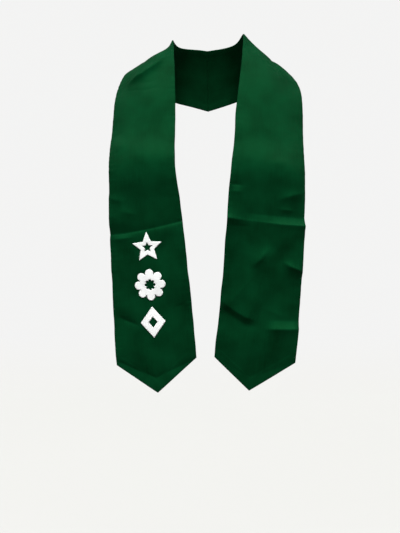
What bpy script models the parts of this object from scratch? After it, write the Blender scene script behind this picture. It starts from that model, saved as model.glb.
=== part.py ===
"""Graduation stole in the form it takes when worn.

Two satin strips meet at the centre back, lie round the neck and over the
shoulders, and hang down the front to pointed ends. Three twill appliques are
sewn on the left panel. The origin is on the neck's axis, at the height where
the shoulders begin. +Z is up and the front faces -Y. Lengths are in metres.
"""

from collections import namedtuple

import bpy
import numpy as np

# Driving dimensions of the two strips
END_WIDTH = 0.1545          # width of a strip at its pointed end
NECK_HALF_WIDTH = 0.070     # centre plane to the inner edge beside the neck
NECK_RISE = 0.060           # inner edge above the origin, beside the neck
NAPE_REACH = 0.068          # neck axis to the inner edge at the centre back
CHEST_REACH = 0.135         # neck axis to the inner edge in front of the chest
FRONT_DROP = 0.632          # origin down to the points
POINT_DROP = 0.059          # how far a point hangs below the corners beside it
WALL = 0.002                # two layers of satin with their interfacing
SEAM_GAP = 0.0003           # clearance between the halves at the centre back
FOLD_DEPTH = 0.006          # height of a fold of depth 1
FOLD_WIDTH = 0.010          # half width of a fold of width 1

# Driving dimensions of the appliques
APPLIQUE_SIZE = 0.059       # height of each applique
APPLIQUE_PITCH = 0.0712     # centre to centre
APPLIQUE_WALL = 0.001       # thickness of the twill
APPLIQUE_SEAT = 0.0005      # clearance between the twill and the satin
APPLIQUE_RISE = 0.277       # point up to the upper centre
APPLIQUE_ACROSS = 0.50      # share of the width from the inner edge to the centres
APPLIQUE_OPENING = 0.36     # opening in the middle, as a share of the outline

# How finely the surfaces are divided
ALONG_STEPS = 100
ACROSS_STEPS = 10
RING_STEPS = 3
BEND_START = 0.72           # share of the length where the rows begin to bend to the point
SMALL_STEP = 0.002          # share of the length or the width over which a slope is taken
SHARP_ANGLE = 50.0          # degrees, past which an edge is shaded sharp

# One row for each section of a strip, from the centre back to the end.
# side is a share of NECK_HALF_WIDTH. depth is a share of CHEST_REACH in front
# of the neck's axis and, below zero, of NAPE_REACH behind it. height is a share
# of NECK_RISE and, below zero, of FRONT_DROP. These three place the inner edge.
# width and bow are shares of END_WIDTH. tilt and turn, in degrees, say how far
# the outer edge lies below the inner one and how far it is turned back.
Section = namedtuple("Section", "place side depth height width tilt turn bow")

LEFT_SECTIONS = (
    Section("centre back", 0.00, -1.00, 0.72, 0.800, 75.5, 90.0, 0.03),
    Section("nape", 0.50, -0.90, 0.76, 0.745, 70.0, 63.0, 0.03),
    Section("behind the neck", 0.87, -0.53, 0.80, 0.715, 56.0, 48.0, 0.03),
    Section("beside the neck", 0.96, 0.04, 0.84, 0.725, 38.5, 46.0, 0.045),
    Section("shoulder", 0.97, 0.12, 0.64, 0.710, 26.0, 36.0, 0.055),
    Section("front of the shoulder", 0.95, 0.26, 0.22, 0.715, 12.0, 27.0, 0.06),
    Section("collar bone", 0.93, 0.38, -0.022, 0.768, 9.5, 20.5, 0.08),
    Section("upper chest", 0.90, 0.67, -0.161, 0.825, 6.0, 15.0, 0.08),
    Section("chest", 0.91, 0.84, -0.242, 0.835, 5.0, 14.0, 0.07),
    Section("below the chest", 0.905, 0.97, -0.305, 0.845, 3.5, 13.0, 0.06),
    Section("middle", 0.77, 1.00, -0.421, 0.890, 3.0, 11.0, 0.05),
    Section("lower panel", 0.60, 0.98, -0.582, 0.945, 3.8, 9.0, 0.04),
    Section("above the point", 0.41, 0.93, -0.779, 0.988, 4.9, 6.0, 0.03),
    Section("bottom corners", 0.32, 0.90, -0.895, 1.000, 5.6, 4.8, 0.03),
    Section("point", 0.235, 0.88, -0.988, 1.000, 5.6, 4.8, 0.03),
)

RIGHT_SECTIONS = (
    Section("centre back", 0.00, -1.00, 0.72, 0.800, 75.5, 90.0, 0.03),
    Section("nape", 0.50, -0.90, 0.80, 0.745, 70.0, 63.0, 0.03),
    Section("behind the neck", 0.87, -0.53, 0.98, 0.715, 56.0, 48.0, 0.02),
    Section("beside the neck", 1.01, 0.04, 1.07, 0.735, 41.5, 46.0, 0.055),
    Section("shoulder", 0.99, 0.12, 0.79, 0.730, 28.0, 36.0, 0.06),
    Section("front of the shoulder", 0.95, 0.22, 0.38, 0.725, 17.0, 27.0, 0.08),
    Section("collar bone", 0.91, 0.34, -0.009, 0.785, 11.0, 20.5, 0.08),
    Section("upper chest", 0.75, 0.65, -0.152, 0.885, 6.5, 15.0, 0.06),
    Section("chest", 0.70, 0.83, -0.242, 0.900, 5.0, 14.0, 0.05),
    Section("below the chest", 0.63, 0.96, -0.305, 0.930, 4.2, 12.0, 0.05),
    Section("middle", 0.53, 1.00, -0.421, 0.965, 3.5, 10.0, 0.04),
    Section("lower panel", 0.43, 0.98, -0.582, 0.985, 3.5, 8.5, 0.04),
    Section("above the point", 0.27, 0.93, -0.779, 1.000, 4.2, 6.0, 0.03),
    Section("bottom corners", 0.165, 0.90, -0.884, 1.012, 4.4, 4.8, 0.03),
    Section("point", 0.090, 0.88, -0.986, 1.012, 4.4, 4.8, 0.03),
)

# One row for each fold. The starts and ends are shares of the strip's length
# from the centre back and of its width from the inner edge. depth is a share
# of FOLD_DEPTH, below zero for a valley, and width a share of FOLD_WIDTH.
Fold = namedtuple("Fold", "place along_start across_start along_end across_end depth width")

LEFT_FOLDS = (
    Fold("neck edge", 0.09, -0.02, 0.175, -0.02, 0.9, 1.0),
    Fold("shoulder valley", 0.185, 0.20, 0.250, 0.58, -0.8, 1.1),
    Fold("waist crease", 0.631, 1.02, 0.613, -0.02, -0.6, 0.8),
    Fold("lower dent", 0.824, 0.88, 0.849, 0.68, -0.5, 1.0),
    Fold("lifted point", 0.975, 0.515, 1.0, 0.515, 0.8, 1.8),
)

RIGHT_FOLDS = (
    Fold("shoulder break", 0.13, 0.67, 0.27, 0.63, -0.7, 1.2),
    Fold("dimple", 0.570, 0.52, 0.574, 0.70, -0.5, 1.1),
    Fold("waist crease", 0.607, -0.02, 0.617, 1.02, 0.6, 0.8),
    Fold("lower fold, inner end", 0.803, -0.02, 0.838, 0.20, -0.8, 0.8),
    Fold("lower fold, outer end", 0.846, 0.26, 0.852, 0.46, -0.8, 0.8),
    Fold("lower ridge", 0.846, 0.66, 0.842, 1.02, 0.6, 0.9),
    Fold("lifted point", 0.975, 0.455, 1.0, 0.455, 0.4, 1.6),
)

# Share of the width, from the inner edge, at which each strip's point hangs
LEFT_POINT = 0.515
RIGHT_POINT = 0.455


def unit(vectors):
    """Vectors scaled to length one."""
    return vectors / np.linalg.norm(vectors, axis=-1, keepdims=True)


def ease(share):
    """A smooth rise from 0 to 1."""
    share = np.clip(share, 0.0, 1.0)
    return share * share * (3.0 - 2.0 * share)


def spline(stops, values):
    """A smooth curve through one row of values at each stop."""
    stops = np.asarray(stops, float)
    values = np.asarray(values, float)
    count = len(stops)
    steps = np.diff(stops)
    slopes = np.diff(values, axis=0) / steps[:, None]
    system = np.eye(count)
    right = np.zeros_like(values)
    for row in range(1, count - 1):
        system[row, row - 1] = steps[row - 1]
        system[row, row] = 2.0 * (steps[row - 1] + steps[row])
        system[row, row + 1] = steps[row]
        right[row] = 6.0 * (slopes[row] - slopes[row - 1])
    bends = np.linalg.solve(system, right)

    def curve(at):
        at = np.asarray(at, float)
        piece = np.clip(np.searchsorted(stops, at, side="right") - 1, 0, count - 2)
        step = steps[piece][..., None]
        after = ((at - stops[piece]) / steps[piece])[..., None]
        before = 1.0 - after
        swing = (before ** 3 - before) * bends[piece] + (after ** 3 - after) * bends[piece + 1]
        return before * values[piece] + after * values[piece + 1] + swing * step ** 2 / 6.0

    return curve


class Strip:
    """One half of the stole, as a surface over its length and its width."""

    def __init__(self, side, sections, folds, point):
        self.side = side
        self.folds = folds
        self.point = point
        inner = np.array([self.inner_point(row) for row in sections])
        across = np.array([self.across_vector(row) for row in sections])
        widths = np.array([[row.width * END_WIDTH] for row in sections])
        bows = np.array([[row.bow * END_WIDTH] for row in sections])
        middles = inner + 0.5 * widths * across
        run = np.linalg.norm(np.diff(middles, axis=0), axis=1)
        self.length = run.sum()
        stops = np.concatenate(([0.0], np.cumsum(run) / self.length))
        self.curve = spline(stops, np.hstack((inner, across, widths, bows)))

    def inner_point(self, row):
        """The inner edge's place in one section."""
        reach = CHEST_REACH if row.depth > 0.0 else NAPE_REACH
        rise = NECK_RISE if row.height > 0.0 else FRONT_DROP
        return (self.side * row.side * NECK_HALF_WIDTH, -row.depth * reach, row.height * rise)

    def across_vector(self, row):
        """The direction from the inner edge to the outer one in one section."""
        tilt = np.radians(row.tilt)
        turn = np.radians(row.turn)
        flat = np.cos(tilt)
        return (self.side * flat * np.cos(turn), flat * np.sin(turn), -np.sin(tilt))

    def middle(self, along):
        """The middle of the width, at shares of the length."""
        here = self.curve(np.clip(along, 0.0, 1.0))
        return here[..., 0:3] + 0.5 * here[..., 6:7] * here[..., 3:6]

    def bare(self, along, across):
        """The surface before its folds, at shares of the length and the width."""
        along, across = np.broadcast_arrays(np.asarray(along, float), np.asarray(across, float))
        here = self.curve(along)
        onward = unit(self.middle(along + SMALL_STEP) - self.middle(along - SMALL_STEP))
        sideways = unit(here[..., 3:6])
        outward = -self.side * unit(np.cross(sideways, onward))
        share = across[..., None]
        bulge = here[..., 7:8] * 4.0 * share * (1.0 - share)
        return here[..., 0:3] + share * here[..., 6:7] * sideways + bulge * outward

    def cut_to_point(self, along, across):
        """Shares of the length, drawn back from the point towards both edges."""
        inside = across / self.point
        outside = (1.0 - across) / (1.0 - self.point)
        cut = POINT_DROP / self.length * (1.0 - np.minimum(inside, outside))
        return along - cut * ease((along - BEND_START) / (1.0 - BEND_START))

    def width(self, along):
        """The strip's width at shares of its length."""
        return self.curve(along)[..., 6]

    def fold_height(self, along, across):
        """The height of all folds at a place on the flat strip."""
        length_here = along * self.length
        width_here = across * END_WIDTH
        height = np.zeros(np.broadcast(along, across).shape)
        for fold in self.folds:
            start = np.array((fold.along_start * self.length, fold.across_start * END_WIDTH))
            end = np.array((fold.along_end * self.length, fold.across_end * END_WIDTH))
            run = end - start
            share = ((length_here - start[0]) * run[0] + (width_here - start[1]) * run[1])
            share = np.clip(share / run.dot(run), 0.0, 1.0)
            gap_along = length_here - start[0] - share * run[0]
            gap_across = width_here - start[1] - share * run[1]
            spread = fold.width * FOLD_WIDTH
            near = np.exp(-(gap_along ** 2 + gap_across ** 2) / (2.0 * spread ** 2))
            height += fold.depth * FOLD_DEPTH * near
        return height

    def normal(self, along, across):
        """The outward direction of the surface before its folds."""
        ahead = self.bare(np.minimum(along + SMALL_STEP, 1.0), across)
        behind = self.bare(np.maximum(along - SMALL_STEP, 0.0), across)
        outer = self.bare(along, np.minimum(across + SMALL_STEP, 1.0))
        inner = self.bare(along, np.maximum(across - SMALL_STEP, 0.0))
        normal = -self.side * unit(np.cross(outer - inner, ahead - behind))
        at_seam = np.broadcast_to(along == 0.0, normal.shape[:-1])
        normal[at_seam, 0] = 0.0
        return unit(normal)

    def front(self, along, across, lift=0.0):
        """The outer face, or a face that lies higher than it by the lift."""
        along, across = np.broadcast_arrays(np.asarray(along, float), np.asarray(across, float))
        normal = self.normal(along, across)
        height = self.fold_height(along, across) + lift
        place = self.bare(along, across) + height[..., None] * normal
        place[..., 0] += self.side * SEAM_GAP / 2.0
        return place


def make_material(name, colour, roughness):
    """A plain cloth finish."""
    material = bpy.data.materials.new(name)
    material.use_nodes = True
    shader = material.node_tree.nodes["Principled BSDF"]
    shader.inputs["Base Color"].default_value = (*colour, 1.0)
    shader.inputs["Roughness"].default_value = roughness
    shader.inputs["Metallic"].default_value = 0.0
    return material


def make_wall(name, top, bottom, closed_round, material):
    """A closed wall between two grids of points, as an object."""
    rows, columns = top.shape[:2]
    points = np.concatenate((top.reshape(-1, 3), bottom.reshape(-1, 3)))
    below = rows * columns
    last = columns if closed_round else columns - 1
    faces = []
    for row in range(rows - 1):
        for column in range(last):
            beside = (column + 1) % columns
            corners = (
                row * columns + column,
                row * columns + beside,
                (row + 1) * columns + beside,
                (row + 1) * columns + column,
            )
            faces.append(corners)
            faces.append(tuple(corner + below for corner in reversed(corners)))
    border = rim(rows, columns, closed_round)
    for start, end in border:
        faces.append((end, start, start + below, end + below))
    mesh = bpy.data.meshes.new(name)
    mesh.from_pydata(points.tolist(), [], faces)
    mesh.materials.append(material)
    if mesh_volume(points, faces) < 0.0:
        mesh.flip_normals()
    mesh.shade_smooth()
    mesh.set_sharp_from_angle(angle=np.radians(SHARP_ANGLE))
    item = bpy.data.objects.new(name, mesh)
    bpy.context.scene.collection.objects.link(item)
    return item


def rim(rows, columns, closed_round):
    """The edges of a grid's border, each in the order that its face has them."""
    edges = []
    around = columns if closed_round else columns - 1
    for column in range(around):
        beside = (column + 1) % columns
        edges.append((column, beside))
        edges.append(((rows - 1) * columns + beside, (rows - 1) * columns + column))
    if not closed_round:
        for row in range(rows - 1):
            edges.append(((row + 1) * columns, row * columns))
            edges.append((row * columns + columns - 1, (row + 1) * columns + columns - 1))
    return edges


def mesh_volume(points, faces):
    """Six times the enclosed volume, below zero for a shape turned inside out."""
    total = 0.0
    for a, b, c, d in faces:
        total += np.dot(points[a], np.cross(points[b], points[c]))
        total += np.dot(points[a], np.cross(points[c], points[d]))
    return total


def make_half(name, strip, material):
    """One strip as a wall of cloth."""
    inner_side = np.linspace(0.0, strip.point, ACROSS_STEPS // 2 + 1)
    outer_side = np.linspace(strip.point, 1.0, ACROSS_STEPS // 2 + 1)
    across = np.concatenate((inner_side, outer_side[1:]))[None, :]
    along = strip.cut_to_point(np.linspace(0.0, 1.0, ALONG_STEPS + 1)[:, None], across)
    outer = strip.front(along, across)
    inner = strip.front(along, across, -WALL)
    return make_wall(name, outer, inner, False, material)


def star_outline(turn):
    """Radius of a five-pointed star, as a share of its greatest, at a turn from its top."""
    notch = 0.46
    half_turn = np.pi / 5.0
    away = np.abs((turn + half_turn) % (2.0 * half_turn) - half_turn)
    side = np.array((notch * np.sin(half_turn), notch * np.cos(half_turn) - 1.0))
    return side[0] / (side[0] * np.cos(away) - side[1] * np.sin(away))


def rosette_outline(turn):
    """Radius of a flower with eight round petals."""
    petal_seat = 0.74
    petal_radius = 1.0 - petal_seat
    half_turn = np.pi / 8.0
    away = np.abs((turn + half_turn) % (2.0 * half_turn) - half_turn)
    reach = petal_radius ** 2 - (petal_seat * np.sin(away)) ** 2
    return petal_seat * np.cos(away) + np.sqrt(np.maximum(reach, 0.0))


def lozenge_outline(turn):
    """Radius of an upright lozenge."""
    waist = 0.80
    return 1.0 / (np.abs(np.cos(turn)) + np.abs(np.sin(turn)) / waist)


# One row for each applique, from the top: its outline, its corners all round,
# and how many steps the outline takes from one corner to the next.
Applique = namedtuple("Applique", "name outline corners steps")

APPLIQUES = (
    Applique("star_applique", star_outline, 10, 4),
    Applique("rosette_applique", rosette_outline, 16, 4),
    Applique("lozenge_applique", lozenge_outline, 4, 8),
)


def make_applique(number, row, strip, material):
    """One applique: a flat outline with an opening, laid on the strip's face."""
    turns = np.linspace(0.0, 2.0 * np.pi, row.corners * row.steps, endpoint=False)[None, :]
    grown = np.linspace(APPLIQUE_OPENING, 1.0, RING_STEPS + 1)[:, None]
    radius = grown * row.outline(turns) * APPLIQUE_SIZE / 2.0
    centre_rise = APPLIQUE_RISE - number * APPLIQUE_PITCH
    along = 1.0 - (centre_rise + radius * np.cos(turns)) / strip.length
    across = APPLIQUE_ACROSS + radius * np.sin(turns) / strip.width(along)
    top = strip.front(along, across, APPLIQUE_SEAT + APPLIQUE_WALL)
    bottom = strip.front(along, across, APPLIQUE_SEAT)
    return make_wall(row.name, top, bottom, True, material)


def main():
    for item in list(bpy.data.objects):
        bpy.data.objects.remove(item, do_unlink=True)
    satin = make_material("satin", (0.0033, 0.0704, 0.0212), 0.38)
    twill = make_material("twill", (0.86, 0.86, 0.84), 0.80)
    left = Strip(-1.0, LEFT_SECTIONS, LEFT_FOLDS, LEFT_POINT)
    right = Strip(1.0, RIGHT_SECTIONS, RIGHT_FOLDS, RIGHT_POINT)
    make_half("left_half", left, satin)
    make_half("right_half", right, satin)
    for number, row in enumerate(APPLIQUES):
        make_applique(number, row, left, twill)


main()
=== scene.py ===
import math

import bpy
import numpy as np
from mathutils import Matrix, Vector


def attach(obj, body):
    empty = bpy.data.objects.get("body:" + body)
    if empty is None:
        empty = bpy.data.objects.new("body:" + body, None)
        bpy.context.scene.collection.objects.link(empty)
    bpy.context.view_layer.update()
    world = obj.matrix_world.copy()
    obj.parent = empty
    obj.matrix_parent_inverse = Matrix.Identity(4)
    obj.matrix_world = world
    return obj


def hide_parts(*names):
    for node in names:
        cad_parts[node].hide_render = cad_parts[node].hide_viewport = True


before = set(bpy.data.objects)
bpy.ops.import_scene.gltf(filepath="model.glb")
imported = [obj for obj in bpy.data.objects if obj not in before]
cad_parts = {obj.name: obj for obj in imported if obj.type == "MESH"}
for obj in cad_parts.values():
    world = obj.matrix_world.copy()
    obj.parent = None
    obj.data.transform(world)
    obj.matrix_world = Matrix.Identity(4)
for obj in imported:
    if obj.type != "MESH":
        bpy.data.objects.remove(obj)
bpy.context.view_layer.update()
print("frame loaded,", len(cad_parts), "nodes")


# Small helpers for colours, objects and nodes

def hexColour(text):
    # sRGB hex to linear, with alpha
    parts = [int(text[place:place + 2], 16) / 255.0 for place in (0, 2, 4)]
    linear = [part / 12.92 if part <= 0.04045 else ((part + 0.055) / 1.055) ** 2.4 for part in parts]
    return (*linear, 1.0)


def placeItem(name, data):
    item = bpy.data.objects.new(name, data)
    bpy.context.scene.collection.objects.link(item)
    return item


def addNode(tree, kind, inputs=None, **settings):
    # inputs are keyed by a socket's name or number, and hold a value or another node's socket
    node = tree.nodes.new(kind)
    for name, value in settings.items():
        setattr(node, name, value)
    for key, value in (inputs or {}).items():
        if isinstance(value, bpy.types.NodeSocket):
            tree.links.new(value, node.inputs[key])
        else:
            node.inputs[key].default_value = value
    return node


def mathNode(tree, operation, *values):
    # the values are numbers or sockets; gives back the result's socket
    return addNode(tree, "ShaderNodeMath", dict(enumerate(values)), operation=operation).outputs[0]


def rangeNode(tree, value, fromRange, toRange=(0.0, 1.0), curve="LINEAR"):
    # carries a value from one range to another; gives back the result's socket
    return addNode(tree, "ShaderNodeMapRange", dict(enumerate((value, *fromRange, *toRange))),
                   interpolation_type=curve).outputs[0]


def mixColours(tree, share, low, high):
    return addNode(tree, "ShaderNodeMix", {0: share, 6: hexColour(low), 7: hexColour(high)},
                   data_type="RGBA").outputs[2]


def clothNoise(tree, place, scale):
    return addNode(tree, "ShaderNodeTexNoise", {"Vector": place, "Scale": scale, "Detail": 2.0},
                   noise_dimensions="2D").outputs[0]


noiseSpan = (0.3, 0.7)              # most of a noise's values lie between these


def startMaterial(name):
    material = bpy.data.materials.new(name)
    material.use_nodes = True
    material.node_tree.nodes.clear()
    return material, material.node_tree


# Finishes

# Polyester satin: warp-faced weave of bright filament yarn, calendered. Floats
# run along the strip, so its sheen spreads across the width and keeps the dye's
# green; light that falls straight on it mostly sinks into the yarn.
satinFinish = {
    "deepGreen": "05361C",          # dyed yarn in full light
    "shadeGreen": "021D0B",         # where the floats dip under a weft
    "toneSpan": (0.15, 1.15),       # weave, slubs and pressing together, from the shade to the full green
    "sheenGreen": "2FBF72",
    "highlightTint": (0.0, 0.95, 0.22, 1.0),
    "roughness": 0.46,
    "roughnessSpread": 0.06,
    "edgeGloss": 0.05,              # how much smoother the pressed edges are
    "edgeReach": 0.006,
    "anisotropy": 0.55,
    "specularLevel": 0.03,
    "sheenWeight": 0.02,
    "sheenRoughness": 0.45,
    "yarnWidth": 0.00045,           # real yarn is about 0.15 mm; drawn coarser so that it shows
    "floatLength": 0.0024,          # real floats are about 0.7 mm
    "floatStep": 0.4,               # each yarn's floats begin two fifths further on
    "floatDip": 0.14,               # share of a float over which its end dips
    "weaveDepth": 0.00012,
    "slubWidth": 0.0011,
    "slubLength": 0.045,
    "slubDepth": 0.00014,
    "bumpStrength": 0.5,
    "pressedScale": 22.0,           # broad change of tone from the pressing
}


def makeSatin(values):
    material, tree = startMaterial("woven_green_polyester_satin")
    cloth = addNode(tree, "ShaderNodeUVMap", uv_map="clothMap").outputs[0]
    place = addNode(tree, "ShaderNodeSeparateXYZ", {0: cloth})
    # one float: its place across a yarn, and along itself
    yarn = mathNode(tree, "MULTIPLY", place.outputs[0], 1.0 / values["yarnWidth"])
    run = mathNode(tree, "MULTIPLY", place.outputs[1], 1.0 / values["floatLength"])
    moved = mathNode(tree, "MULTIPLY_ADD", mathNode(tree, "FLOOR", yarn), values["floatStep"], run)
    crown = mathNode(tree, "PINGPONG", mathNode(tree, "FRACT", yarn), 0.5)
    crownRound = rangeNode(tree, crown, (0.0, 0.5), curve="SMOOTHSTEP")
    tuck = mathNode(tree, "PINGPONG", mathNode(tree, "FRACT", moved), 0.5)
    tuckRound = rangeNode(tree, tuck, (0.0, values["floatDip"]), curve="SMOOTHSTEP")
    weave = mathNode(tree, "MULTIPLY", crownRound, tuckRound)
    # slubs: long faint streaks where a yarn is a little thicker
    stretched = addNode(tree, "ShaderNodeVectorMath",
                        {0: cloth, 1: (1.0 / values["slubWidth"], 1.0 / values["slubLength"], 1.0)},
                        operation="MULTIPLY").outputs[0]
    slub = clothNoise(tree, stretched, 1.0)
    pressed = clothNoise(tree, cloth, values["pressedScale"])
    tone = mathNode(tree, "MULTIPLY_ADD", weave, slub, pressed)
    toneShare = rangeNode(tree, tone, values["toneSpan"])
    edge = addNode(tree, "ShaderNodeAttribute", attribute_name="fromEdge").outputs[2]
    edgeGloss = rangeNode(tree, edge, (0.0, values["edgeReach"]), (-values["edgeGloss"], 0.0))
    rough, spread = values["roughness"], values["roughnessSpread"]
    yarnGloss = rangeNode(tree, slub, noiseSpan, (rough - spread, rough + spread))
    slubBump = addNode(tree, "ShaderNodeBump", {
        "Strength": values["bumpStrength"], "Distance": values["slubDepth"], "Height": slub})
    weaveBump = addNode(tree, "ShaderNodeBump", {
        "Strength": values["bumpStrength"], "Distance": values["weaveDepth"], "Height": weave,
        "Normal": slubBump.outputs[0]})
    grain = addNode(tree, "ShaderNodeTangent", direction_type="UV_MAP", uv_map="clothMap")
    shader = addNode(tree, "ShaderNodeBsdfPrincipled", {
        "Base Color": mixColours(tree, toneShare, values["shadeGreen"], values["deepGreen"]),
        "Roughness": mathNode(tree, "ADD", yarnGloss, edgeGloss),
        "Normal": weaveBump.outputs[0],
        "Tangent": grain.outputs[0],
        "IOR": 1.52,
        "Specular IOR Level": values["specularLevel"],
        "Specular Tint": values["highlightTint"],
        "Anisotropic": values["anisotropy"],
        "Sheen Weight": values["sheenWeight"],
        "Sheen Roughness": values["sheenRoughness"],
        "Sheen Tint": hexColour(values["sheenGreen"]),
    })
    addNode(tree, "ShaderNodeOutputMaterial", {0: shader.outputs[0]})
    return material


# Polyester tackle twill: close diagonal weave, bright white, matt, with a hint
# of painted grey shade in the furrows between the ribs.
twillFinish = {
    "white": "EFF0EE",
    # painted shade in the furrows between the ribs
    "furrowShade": "DFE0DF",
    "roughness": (0.66, 0.80),
    "ribPitch": 0.0007,             # real ribs are about 0.4 mm; drawn coarser so that they show
    "ribDepth": 0.00006,
    "ribSpan": (-1.0, 0.4),         # the part of a rib's wave that turns from the painted furrow shade to white
    "ribTone": 0.7,
    "patchScale": 60.0,
    "fuzzScale": 2600.0,
    "fuzzDepth": 0.00005,
}


def makeTwill(values):
    material, tree = startMaterial("woven_white_polyester_twill")
    cloth = addNode(tree, "ShaderNodeUVMap", uv_map="clothMap").outputs[0]
    place = addNode(tree, "ShaderNodeSeparateXYZ", {0: cloth})
    diagonal = mathNode(tree, "ADD", place.outputs[0], place.outputs[1])
    rib = mathNode(tree, "SINE", mathNode(tree, "MULTIPLY", diagonal, 2.0 * math.pi / values["ribPitch"]))
    fuzz = clothNoise(tree, cloth, values["fuzzScale"])
    patch = clothNoise(tree, cloth, values["patchScale"])
    # painted shade in the rib furrows, plus random patches of tone
    tone = mathNode(tree, "MULTIPLY_ADD", rangeNode(tree, rib, values["ribSpan"]), values["ribTone"], patch)
    fuzzBump = addNode(tree, "ShaderNodeBump", {
        "Strength": 0.4, "Distance": values["fuzzDepth"], "Height": fuzz})
    ribBump = addNode(tree, "ShaderNodeBump", {
        "Strength": 0.7, "Distance": values["ribDepth"], "Height": rib, "Normal": fuzzBump.outputs[0]})
    shader = addNode(tree, "ShaderNodeBsdfPrincipled", {
        "Base Color": mixColours(tree, tone, values["furrowShade"], values["white"]),
        "Roughness": rangeNode(tree, fuzz, noiseSpan, values["roughness"]),
        "Normal": ribBump.outputs[0],
        "IOR": 1.50,
        "Specular IOR Level": 0.35,
        "Sheen Weight": 0.12,
        "Sheen Roughness": 0.5,
    })
    addNode(tree, "ShaderNodeOutputMaterial", {0: shader.outputs[0]})
    return material


# Trilobal polyester embroidery thread: two twisted plies, brighter and smoother
# than the twill, so that each stitch catches a small light, with painted shade in the grooves between the
# plies.
threadFinish = {
    "white": "F2F2F0",
    # painted shade in the grooves between the plies
    "ply": "D8D9D7",
    "roughness": 0.42,
    "twistPitch": 0.0006,
    "twistDepth": 0.00004,
    "plyShadeSpan": (-1.0, 0.2),
}


def makeThread(values):
    material, tree = startMaterial("twisted_white_polyester_thread")
    place = addNode(tree, "ShaderNodeTexCoord").outputs["Object"]
    parts = addNode(tree, "ShaderNodeSeparateXYZ", {0: place})
    slope = mathNode(tree, "ADD", parts.outputs[0], parts.outputs[2])
    ply = mathNode(tree, "SINE", mathNode(tree, "MULTIPLY", slope, 2.0 * math.pi / values["twistPitch"]))
    # how much painted shade lies in the twist grooves
    plyShadeShare = rangeNode(tree, ply, values["plyShadeSpan"])
    bump = addNode(tree, "ShaderNodeBump", {"Strength": 0.5, "Distance": values["twistDepth"], "Height": ply})
    shader = addNode(tree, "ShaderNodeBsdfPrincipled", {
        "Base Color": mixColours(tree, plyShadeShare, values["ply"], values["white"]),
        "Roughness": values["roughness"],
        "Normal": bump.outputs[0],
        "IOR": 1.54,
        "Sheen Weight": 0.1,
        "Sheen Roughness": 0.4,
    })
    addNode(tree, "ShaderNodeOutputMaterial", {0: shader.outputs[0]})
    return material


satin = makeSatin(satinFinish)
twill = makeTwill(twillFinish)
thread = makeThread(threadFinish)
print("finishes made")


# The two satin strips

# Sizes in metres, the same as the solids have
stole = {
    "endWidth": 0.1545,             # width at the pointed ends
    "neckHalfWidth": 0.070,
    "neckRise": 0.060,
    "napeReach": 0.068,
    "chestReach": 0.135,
    "frontDrop": 0.632,
    "pointDrop": 0.059,
    "wall": 0.002,
    "bendStart": 0.72,
    "rows": 620,
    "columns": 58,
}

# How the edges are made up, in metres
edging = {
    "roll": 0.0017,                 # how far in from an edge the two layers part
    "steps": (0.0, 0.00008, 0.0003, 0.0007, 0.0012, 0.0018, 0.0027),    # rows of the mesh beside an edge
    "hemLean": 0.8,                 # the slanting hem is nearer than the way along the strip
    "allowanceWidth": 0.0115,       # turned-in cloth felt through the face along the sides
    "allowanceDepth": 0.00030,
    "allowanceStep": 0.0016,
    "hemAllowance": 1.7,            # the hem's turning is this much wider
    "puckerDepth": 0.000183,        # short ripples where the turned edge is a little tighter than the face
    "puckerReach": 0.010,
    "puckerLength": (9.0, 17.0),    # shortest ripple in mm, and how much longer the longest is
    "sideTurning": 0.02,            # share of the width that the cut has for the turned edges
    "endTurning": 0.02,             # in metres of the cut's length
    "wander": 0.00028,              # the cut edges wander a little
    "wanderLength": (38.0, 70.0),   # in mm, as for the ripples
}

# Slow rolls of limp cloth, in mm
drape = {
    "length": (55.0, 110.0),        # shortest roll, and how much longer the longest is
    "lean": 50.0,                   # greatest lean to either side, in degrees
    "height": (0.12, 0.24),         # lowest roll, and how much higher the highest is
    "chestShare": 0.12,             # the chest lies calmer than the hanging panels
    "calmUntil": 0.42,              # share of the length
    "calmFade": 0.12,
    "neckPlace": 0.132,             # where the inner edge stands off a little, and its reach along and across
    "neckReach": (22.0, 11.0),
}

# side, depth and height of the inner edge, then width, tilt, turn and bow, from the centre back down
leftSections = (
    (0.00, -1.00, 0.72, 0.800, 75.5, 90.0, 0.03),
    (0.50, -0.90, 0.76, 0.745, 70.0, 63.0, 0.03),
    (0.87, -0.53, 0.80, 0.715, 56.0, 48.0, 0.03),
    (0.96, 0.04, 0.84, 0.725, 38.5, 46.0, 0.045),
    (0.97, 0.12, 0.64, 0.710, 26.0, 36.0, 0.055),
    (0.95, 0.26, 0.22, 0.715, 12.0, 27.0, 0.06),
    (0.93, 0.38, -0.022, 0.768, 9.5, 20.5, 0.08),
    (0.90, 0.67, -0.161, 0.825, 6.0, 15.0, 0.08),
    (0.91, 0.84, -0.242, 0.835, 5.0, 14.0, 0.07),
    (0.905, 0.97, -0.305, 0.845, 3.5, 13.0, 0.06),
    (0.77, 1.00, -0.421, 0.890, 3.0, 11.0, 0.05),
    (0.60, 0.98, -0.582, 0.945, 3.8, 9.0, 0.04),
    (0.41, 0.93, -0.779, 0.988, 4.9, 6.0, 0.03),
    (0.32, 0.90, -0.895, 1.000, 5.6, 4.8, 0.03),
    (0.235, 0.88, -0.988, 1.000, 5.6, 4.8, 0.03),
)
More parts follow.
